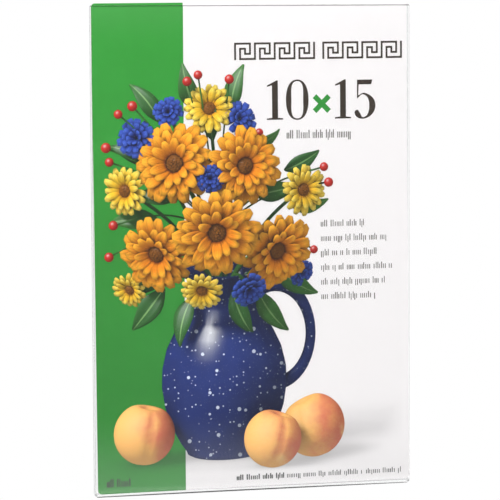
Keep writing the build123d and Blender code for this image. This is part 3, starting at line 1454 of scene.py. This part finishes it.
# %% [markdown]
# Plain numerals give the print's size in centimetres, in the upright style of a book, with
# thick stems and hair-thin turns. Blender's own font has no such contrast, so each numeral
# is drawn as a closed Bezier outline in shares of its height. Smooth points get automatic
# handles and corners get straight ones, and the filled curve becomes a mesh at once.

# %% Outlines of the numerals
CROSS_ARM = 0.56
CROSS_HALF_STROKE = 0.14
SMOOTH, CORNER = "AUTO", "VECTOR"


def drawn(handle, *places):
    return [(across, up, handle) for across, up in places]


def oval(middle, half_width, half_height):
    ends = ((0, 1), (1, 0), (0, -1), (-1, 0))
    places = [(middle[0] + x * half_width, middle[1] + y * half_height) for x, y in ends]
    return drawn(SMOOTH, *places)


def cross_outline():
    """Four arms at half right angles, each two corners at its end and one beside its root."""
    places = []
    for arm in range(4):
        turn = math.radians(45 + 90 * arm)
        along_arm = Vector((math.cos(turn), math.sin(turn)))
        aside = Vector((-along_arm.y, along_arm.x)) * CROSS_HALF_STROKE
        end = along_arm * CROSS_ARM
        places += [end - aside, end + aside, along_arm * CROSS_HALF_STROKE + aside]
    return drawn(CORNER, *[(0.5 + place.x, 0.5 + place.y) for place in places])


ONE = drawn(
    CORNER,
    (0.03, 0.0), (0.46, 0.0), (0.46, 0.035), (0.325, 0.05), (0.325, 1.0), (0.29, 1.0),
    (0.04, 0.875), (0.04, 0.84), (0.17, 0.875), (0.17, 0.05), (0.03, 0.035),
)
FIVE = (
    drawn(CORNER, (0.09, 0.985), (0.50, 0.985), (0.47, 0.865), (0.135, 0.865), (0.118, 0.585))
    + drawn(SMOOTH, (0.30, 0.645), (0.58, 0.325), (0.27, -0.015), (0.02, 0.13), (0.085, 0.215))
    + drawn(SMOOTH, (0.16, 0.14), (0.25, 0.025), (0.415, 0.325), (0.265, 0.605))
    + drawn(CORNER, (0.085, 0.50))
)
OUTLINES = {
    "one": [ONE],
    "zero": [oval((0.30, 0.5), 0.30, 0.515), oval((0.30, 0.5), 0.155, 0.475)],
    "five": [FIVE],
    "cross": [cross_outline()],
}

# %% Print the numerals
NUMERAL_FOOT = 115.6 * MM
NUMERAL_HEIGHT = 12.3 * MM
CROSS_FOOT = 117.4 * MM
CROSS_HEIGHT = 6.0 * MM
SIGN_GREENS = ((0.020, 0.260, 0.030, 1), (0.035, 0.300, 0.045, 1))


def flat_sign(name, left, foot, height):
    """One filled sign, stood upright on the card, as a flat mesh."""
    curve = bpy.data.curves.new(name, "CURVE")
    curve.dimensions = "2D"
    curve.fill_mode = "BOTH"
    for outline in OUTLINES[name]:
        spline = curve.splines.new("BEZIER")
        spline.bezier_points.add(len(outline) - 1)
        spline.use_cyclic_u = True
        for point, (across, up, handle) in zip(spline.bezier_points, outline):
            point.co = (across, up, 0)
            point.handle_left_type = point.handle_right_type = handle
    piece = curve_mesh(name, curve)
    stand = moved(left, 0, foot) @ turned(math.radians(90), "X")
    piece.data.transform(stand @ Matrix.Scale(height, 4))
    return piece


def numerals(name, signs, foot, height, material):
    pieces = [flat_sign(sign, left * MM, foot, height) for sign, left in signs.items()]
    piece = join_all(pieces, name)
    thicken_ink(piece)
    print_on_card(piece, name)
    wear(piece, material)
    tell(piece)


sign_ink = make_material("green_sign_ink", ink, *SIGN_GREENS)
numerals("print_ten", {"one": 55.2, "zero": 61.8}, NUMERAL_FOOT, NUMERAL_HEIGHT, brown_ink)
numerals("print_fifteen", {"one": 77.4, "five": 84.0}, NUMERAL_FOOT, NUMERAL_HEIGHT, brown_ink)
numerals("print_cross", {"cross": 70.5}, CROSS_FOOT, CROSS_HEIGHT, sign_ink)

# %% [markdown]
# From a step away small print is rows of short grey strokes, and the card's small print is
# made as just that, with no letters in it. One stroke is a sliver with its corners rounded.
# Its copies stand in words of uneven length, and some are taller or hang lower.

# %% A line of strokes
STROKE_WIDTH = 0.30 * MM
STROKE_PITCH = 0.60 * MM
STROKE_ROUND = 0.09 * MM
WORD_GAP = 0.75 * MM
WORD_LENGTHS = (2, 9)
TALL_SHARE, TALL_CHANCE = 0.42, 0.27
LOW_SHARE, LOW_CHANCE = 0.36, 0.10
UNEVEN_WIDTH = (0.85, 1.15)
UNEVEN_PITCH = (0.85, 1.2)


def stroke_blank():
    blank = bar_blank("stroke", (0, -INK / 2, 0), (STROKE_WIDTH, INK, MM))
    start_edit(blank, "EDGE")
    pick(blank, "EDGE", through_ink)
    bpy.ops.mesh.bevel(offset=STROKE_ROUND, segments=2, affect="EDGES")
    end_edit()
    return blank


def print_line(left, right, foot, height, boldness, chance):
    """Places for one line of strokes. height is that of a low stroke, as of an x."""
    places, across = [], left
    while across < right:
        for _ in range(chance.integers(*WORD_LENGTHS)):
            if across > right:
                break
            kind = chance.random()
            rise = TALL_SHARE * height if kind < TALL_CHANCE else 0.0
            drop = LOW_SHARE * height if kind > 1 - LOW_CHANCE else 0.0
            width = boldness * chance.uniform(*UNEVEN_WIDTH)
            size = Matrix.Diagonal((width, 1, (height + rise + drop) / MM, 1))
            places.append(moved(across, 0, foot + (height + rise - drop) / 2) @ size)
            across += STROKE_PITCH * chance.uniform(*UNEVEN_PITCH)
        across += WORD_GAP
    return places


# %% [markdown]
# There is a line under the numerals, a paragraph beside the flowers, a line along the foot,
# bolder where it begins, and a mark in the corner of the band, which lies on the green ink.
# Each line is its left and right ends, its foot, its height and how bold it is.

# %% Small print
PARAGRAPH_LEFT = 73.0
PARAGRAPH_RIGHTS = (87.0, 94.5, 91.5, 96.3, 94.0, 90.5)
PARAGRAPH_TOP = 81.6
PARAGRAPH_PITCH = 4.6
PARAGRAPH = [
    (PARAGRAPH_LEFT, right, PARAGRAPH_TOP - line * PARAGRAPH_PITCH, 1.5, 1.0)
    for line, right in enumerate(PARAGRAPH_RIGHTS)
]
SMALL_LINE = [(62.1, 83.5, 109.6, 1.9, 1.1)]
FOOT_LINE = [
    (44.8, 60.0, 2.2, 1.25, 1.35),
    (61.2, 86.0, 2.2, 1.2, 0.95),
    (87.4, 98.9, 2.2, 1.2, 0.95),
]
MARK = [(3.0, 11.0, 2.0, 1.9, 1.35)]
GREYS = ((0.13, 0.12, 0.11, 1), (0.19, 0.18, 0.165, 1))
DARKS = ((0.030, 0.030, 0.030, 1), (0.055, 0.055, 0.052, 1))


def small_print(name, lines, material, lift=0.0):
    chance = np.random.default_rng(21)
    places = []
    for left, right, foot, height, boldness in lines:
        places += print_line(left * MM, right * MM, foot * MM, height * MM, boldness, chance)
    places = [moved(0, -lift, 0) @ place for place in places]
    piece = joined_copies(stroke_blank(), places, chance, name)
    print_on_card(piece, name)
    wear(piece, material)
    print(name, len(places), "strokes")


grey_ink = make_material("grey_ink", ink, *GREYS)
dark_ink = make_material("dark_ink", ink, *DARKS)
small_print("print_small_line", SMALL_LINE, grey_ink)
small_print("print_paragraph", PARAGRAPH, grey_ink)
small_print("print_foot_line", FOOT_LINE, dark_ink)
small_print("print_mark", MARK, dark_ink, lift=INK)

# %% [markdown]
# Two strips of flexible magnet hold the frame to a steel door. The rubber is full of
# ferrite powder and is pushed out of a slot, which leaves fine ribs along it, and each
# strip is chopped to length. So a bar's edges are softened with a bevel, it is cut
# lengthwise in edit mode, and every other cut line of its back face is pressed in.

# %% Magnet strips
RIB_PITCH = 0.85 * MM
RIB_DEPTH = 0.035 * MM
MAGNET_EDGE = 0.12 * MM


def middle_and_size(node):
    """The middle and the size of a node of the frame."""
    low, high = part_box(node)
    return [(a + b) / 2 for a, b in zip(low, high)], [b - a for a, b in zip(low, high)]


def magnet_strip(name, node):
    middle, size = middle_and_size(node)
    strip = bar_blank(name, middle, size)
    use_modifier(strip, "BEVEL", width=MAGNET_EDGE, segments=3, limit_method="ANGLE")
    start_edit(strip, "VERT")
    cuts = int(size[2] / RIB_PITCH / 2 - 0.5)
    lines = [middle[2] + cut * RIB_PITCH for cut in range(-cuts, cuts + 1)]
    for height in lines:
        pick_all()
        bpy.ops.mesh.bisect(plane_co=(0, 0, height), plane_no=(0, 0, 1), threshold=WELD)
    back = middle[1] + size[1] / 2 - WELD
    for height in lines[::2]:
        pick(strip, "VERT", lambda at, _: at.y > back and abs(at.z - height) < WELD)
        bpy.ops.transform.translate(value=(0, -RIB_DEPTH, 0))
    end_edit()
    take(strip)
    bpy.ops.object.shade_smooth_by_angle(angle=SHARP_ANGLE)
    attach(strip, "sleeve")
    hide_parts(node)
    return strip


# %% Magnet rubber
RUBBER_LAY = (0.02, 1, 1)
RUBBER_DARKS = ((0.022, 0.018, 0.016, 1), (0.050, 0.042, 0.037, 1))
RUBBER_DUST = (0.17, 0.155, 0.14, 1)
RUBBER_GLINT = (0.22, 0.21, 0.20, 1)


def magnet_rubber(tree):
    """Brown-black rubber with the streaks of its slot, glints and a little pale dust."""
    streaks = noise(tree, object_place(tree, RUBBER_LAY), scale=1400, detail=5, roughness=0.65)
    grain = noise(tree, object_place(tree), scale=5200, detail=3)
    dust = ramp(tree, noise(tree, object_place(tree), scale=45, detail=5), 0.52, 0.75, 0.0, 0.3)
    colour = mix(tree, ramp(tree, streaks, 0.35, 0.7), *RUBBER_DARKS)
    colour = mix(tree, dust, colour, RUBBER_DUST)
    colour = mix(tree, ramp(tree, grain, 0.68, 0.78), colour, RUBBER_GLINT)
    relief = bump(tree, scaled(tree, grain, 0.4, streaks), 0.35, 0.03 * MM)
    return principled(tree, colour, ramp(tree, streaks, 0.2, 0.8, 0.56, 0.80), relief)


rubber = make_material("magnet_rubber", magnet_rubber)
for end in ("upper", "lower"):
    strip = magnet_strip("magnet_" + end, "magnet_strip_" + end)
    wear(strip, rubber)
    tell(strip)

# %% [markdown]
# Each strip is stuck on with a film of adhesive, rolled on from a tape. The film is cloudy
# and its cut rim is never quite straight, so the blank's rim is divided into short edges
# and each point is moved in by its own small random step. Where the film has wetted the
# sheet it looks darker and shinier.

# %% Adhesive films
RIM_CUTS = 60
RIM_WANDER = 0.16 * MM


def adhesive_film(name, node, seed):
    middle, size = middle_and_size(node)
    film = sheet_blank(name, middle, size[0], size[2], UPRIGHT)
    start_edit(film, "EDGE")
    pick_all()
    bpy.ops.mesh.subdivide(number_cuts=RIM_CUTS)
    bpy.ops.mesh.select_mode(type="FACE")
    pick_all()
    bpy.ops.mesh.dissolve_faces()
    end_edit()
    chance = np.random.default_rng(seed)
    for point in film.data.vertices:
        towards = Vector(middle) - point.co
        step = towards.normalized() * chance.uniform(0, RIM_WANDER)
        point.co += Vector((step.x, 0, step.z))
    use_modifier(film, "SOLIDIFY", thickness=size[1], offset=0)
    start_edit(film)
    face_outwards()
    end_edit()
    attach(film, "sleeve")
    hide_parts(node)
    return film


# %% Cloudy adhesive
ADHESIVE_MILKY = (0.80, 0.77, 0.68, 1)
ADHESIVE_WETTED = (0.58, 0.55, 0.47, 1)
ADHESIVE_PITS = (0.86, 0.84, 0.78, 1)
ADHESIVE_DEPTH = {
    "Subsurface Weight": 0.15,
    "Subsurface Radius": (0.0006, 0.0005, 0.0003),
    "Subsurface Scale": 1.0,
}


def cloudy_adhesive(tree):
    patches = noise(tree, object_place(tree), scale=130, detail=6, roughness=0.6)
    wetted = ramp(tree, patches, 0.42, 0.62)
    pits = noise(tree, object_place(tree), scale=1500, detail=3)
    colour = mix(tree, wetted, ADHESIVE_MILKY, ADHESIVE_WETTED)
    colour = mix(tree, ramp(tree, pits, 0.62, 0.75), colour, ADHESIVE_PITS)
    relief = bump(tree, pits, 0.25, 0.02 * MM)
    return principled(tree, colour, ramp(tree, wetted, 0, 1, 0.55, 0.30), relief | ADHESIVE_DEPTH)


adhesive = make_material("cloudy_adhesive", cloudy_adhesive)
for seed, end in enumerate(("upper", "lower")):
    film = adhesive_film("adhesive_" + end, "adhesive_film_" + end, seed)
    wear(film, adhesive)
    tell(film)

# %% [markdown]
# The studio is plain. A floor of pale paper lies well below the frame, as it hangs. Where
# the camera looks at it far from the frame, or sees it mirrored inside the sheet, the
# floor glows white, as a lit studio floor does.

# %% Floor
FLOOR_DROP = 0.2
FLOOR_FRONT = -1.05
FLOOR_BACK = 1.0
FLOOR_HALF_WIDTH = 1.4
FLOOR_GREYS = ((0.80, 0.80, 0.80, 1), (0.84, 0.84, 0.84, 1))
FLOOR_GLOW_REACH = (0.25, 0.95)
FLOOR_BEHIND = (-0.6, -0.3)
MIRRORED_ONCE = 0.5


def looked_at(tree, behind):
    """1 for what the camera sees, straight or through the sheet. A ray that was mirrored
    inside the sheet counts where behind is 1, and not where it is 0."""
    rays = light_path(tree)
    through = calc(tree, "LESS_THAN", rays["Glossy Depth"], MIRRORED_ONCE)
    through = calc(tree, "MAXIMUM", through, behind)
    through = scaled(tree, rays["Is Transmission Ray"], through)
    return calc(tree, "MAXIMUM", rays["Is Camera Ray"], through)


def floor_paper(tree):
    flat = vector_node(tree, "MULTIPLY", object_place(tree), (1, 1, 0), output="Vector")
    far = ramp(tree, vector_node(tree, "LENGTH", flat), *FLOOR_GLOW_REACH)
    mirrored = calc(tree, "GREATER_THAN", light_path(tree)["Glossy Depth"], MIRRORED_ONCE)
    behind = ramp(tree, along(tree, "Y"), *FLOOR_BEHIND)
    share = scaled(tree, looked_at(tree, behind), calc(tree, "MAXIMUM", far, mirrored))
    pale = mix(tree, noise(tree, object_place(tree), scale=120), *FLOOR_GREYS)
    return mix_shaders(tree, share, principled(tree, pale, 0.9), glow(tree, 1.0))


floor_middle = (0, (FLOOR_FRONT + FLOOR_BACK) / 2, cad_low[2] - FLOOR_DROP)
floor = sheet_blank("floor", floor_middle, 2 * FLOOR_HALF_WIDTH, FLOOR_BACK - FLOOR_FRONT)
wear(floor, make_material("floor_paper", floor_paper))

# %% [markdown]
# A white card stands low in front of the frame, as in many studios. Only the foot of the
# front sheet mirrors it, and its soft upper edge makes the haze that rises from there.
# Rays that aren't mirrored pass through it.

# %% Low reflector
REFLECTOR_MIDDLE = (0.2, -0.8, -0.28)
REFLECTOR_WIDTH = 0.9
REFLECTOR_HEIGHT = 0.11
REFLECTOR_TOP = REFLECTOR_MIDDLE[2] + REFLECTOR_HEIGHT / 2
REFLECTOR_FADE = 0.05
REFLECTOR_STRENGTH = 0.7
RIM_TOP = -0.2708
RIM_END = -0.2750
RIM_STRENGTH = 0.9


def reflector_card(tree):
    height = along(tree, "Z")
    fade_end = REFLECTOR_TOP - REFLECTOR_FADE
    broad = ramp(tree, height, REFLECTOR_TOP, fade_end, 0.0, REFLECTOR_STRENGTH)
    rim = ramp(tree, height, RIM_TOP, RIM_END, 0.0, RIM_STRENGTH)
    light = glow(tree, calc(tree, "ADD", broad, rim))
    return mix_shaders(tree, light_path(tree)["Is Glossy Ray"], transparent(tree), light)


size = (REFLECTOR_WIDTH, REFLECTOR_HEIGHT)
card = sheet_blank("low_reflector", REFLECTOR_MIDDLE, *size, UPRIGHT)
wear(card, make_material("reflector_card", reflector_card))

# %% [markdown]
# The surround is pure white where the camera looks at it, straight or through the sheet.
# Ahead of the front sheet it is dark, so that the sheet mirrors little and the print stays
# rich. The round fold works as a lens that looks steeply up and behind, where the studio is
# dark too, and that draws the dark line along the frame's foot.

# %% Pale surround
WHITE = 1.0
SURROUND_FRONT = 0.30
SURROUND_BACK = 0.75
SURROUND_BELOW = 0.03
SURROUND_ABOVE = 0.28
SURROUND_ASIDE = 0.85
EVEN_TURN = (-0.3, 0.3)
HORIZON = (-0.010, 0.006)
MIRROR_TURN = (-0.55, 0.1)
BEHIND_TURN = (-0.2, 0.1)
DARK_AHEAD = (0.255, 0, -0.082)
DARK_AHEAD_REACH = 0.16
DARK_AHEAD_END = 0.32
DARK_OVERHEAD_FROM = 0.40
DARK_OVERHEAD_TO = 0.58
DARK_OVERHEAD_ACROSS = 0.245
DARK_OVERHEAD_NARROWING = 60.0
DARK_OVERHEAD_LEVEL = 0.04


def mirrored_level(tree, direction, towards, upward):
    """What the front sheet mirrors: dark straight ahead of it, and paler to all sides."""
    horizon = ramp(tree, upward, *HORIZON, SURROUND_BELOW, SURROUND_ABOVE)
    flat = vector_node(tree, "MULTIPLY", direction, (1, 0, 1), output="Vector")
    off = vector_node(tree, "DISTANCE", flat, DARK_AHEAD)
    ahead = ramp(tree, off, DARK_AHEAD_REACH, DARK_AHEAD_END, horizon, SURROUND_ASIDE)
    return ramp(tree, towards, *MIRROR_TURN, ahead, WHITE)


def seen_level(tree, across, upward):
    """What the camera sees: white, but for the dark overhead that only the fold shows."""
    aside = calc(tree, "POWER", calc(tree, "SUBTRACT", across, DARK_OVERHEAD_ACROSS), 2.0)
    overhead = scaled(tree, aside, -DARK_OVERHEAD_NARROWING, upward)
    overhead = ramp(
        tree, overhead, DARK_OVERHEAD_FROM, DARK_OVERHEAD_TO, WHITE, DARK_OVERHEAD_LEVEL
    )
    return mix(tree, light_path(tree)["Is Camera Ray"], overhead, WHITE, kind="FLOAT")


def pale_surround():
    world = bpy.data.worlds.new("surround")
    world.use_nodes = True
    bpy.context.scene.world = world
    tree = world.node_tree
    tree.nodes.clear()
    direction = add_node(tree, "TexCoord").outputs["Generated"]
    across, towards, upward = add_node(tree, "SeparateXYZ", {0: direction}).outputs
    even = ramp(tree, towards, *EVEN_TURN, SURROUND_FRONT, SURROUND_BACK)
    mirrored = mirrored_level(tree, direction, towards, upward)
    rays = light_path(tree)
    sharp = calc(tree, "MAXIMUM", rays["Is Glossy Ray"], rays["Is Transmission Ray"])
    level = mix(tree, sharp, even, mirrored, kind="FLOAT")
    seen = looked_at(tree, ramp(tree, towards, *BEHIND_TURN))
    level = mix(tree, seen, level, seen_level(tree, across, upward), kind="FLOAT")
    light = add_node(tree, "Background", {"Color": (1, 1, 1, 1), "Strength": level})
    add_node(tree, "OutputWorld", {"Surface": light.outputs[0]})


pale_surround()

# %% [markdown]
# Two lamps light the frame, the main one above and to the left and a weaker one to the
# right. They are wide, so that shadows stay soft, and weak enough that white paper stays
# just under pure white.

# %% Soft lamps
MAIN_LAMP = ("lamp_above_left", (-0.34, -0.62, 0.55), 0.45, 7.6)
FILL_LAMP = ("lamp_right", (0.9, -0.7, 0.25), 0.5, 2.3)


def soft_lamp(name, place, width, watts):
    lamp = bpy.data.lights.new(name, "AREA")
    lamp.shape = "RECTANGLE"
    lamp.size = lamp.size_y = width
    lamp.energy = watts
    holder = new_object(name, lamp)
    holder.location = place
    aim = Vector(cad_low).lerp(Vector(cad_high), 0.5)
    holder.rotation_euler = (aim - Vector(place)).to_track_quat("-Z", "Y").to_euler()


soft_lamp(*MAIN_LAMP)
soft_lamp(*FILL_LAMP)

# %% [markdown]
# The photograph was taken from a little to the left and above, from nearly a metre away
# with a long lens. The angles, the distance and the roll come from the four corners of
# the sleeve in the photograph and its real size.

# %% Camera at the photograph's angle
CAMERA_AZIMUTH = math.radians(-14.78)
CAMERA_ELEVATION = math.radians(4.726)
CAMERA_ROLL = math.radians(-0.303)
CAMERA_DISTANCE = 0.8773
CAMERA_LENS = 201.6
CAMERA_SENSOR = 36
CAMERA_AIM = Vector((-1.306 * MM, sleeve_low[1], -61.206 * MM))
CAMERA_NEAREST = 0.05
CAMERA_FARTHEST = 20


def photo_camera():
    data = bpy.data.cameras.new("camera")
    data.sensor_width = CAMERA_SENSOR
    data.lens = CAMERA_LENS
    data.clip_start = CAMERA_NEAREST
    data.clip_end = CAMERA_FARTHEST
    camera = new_object("camera", data)
    level = math.cos(CAMERA_ELEVATION)
    across = math.sin(CAMERA_AZIMUTH) * level
    back = Vector((across, -math.cos(CAMERA_AZIMUTH) * level, math.sin(CAMERA_ELEVATION)))
    camera.location = CAMERA_AIM + back * CAMERA_DISTANCE
    camera.rotation_mode = "QUATERNION"
    roll = Quaternion((0, 0, 1), CAMERA_ROLL)
    camera.rotation_quaternion = (-back).to_track_quat("-Z", "Y") @ roll
    return camera


bpy.context.scene.camera = photo_camera()
bpy.context.scene.view_settings.view_transform = "Standard"
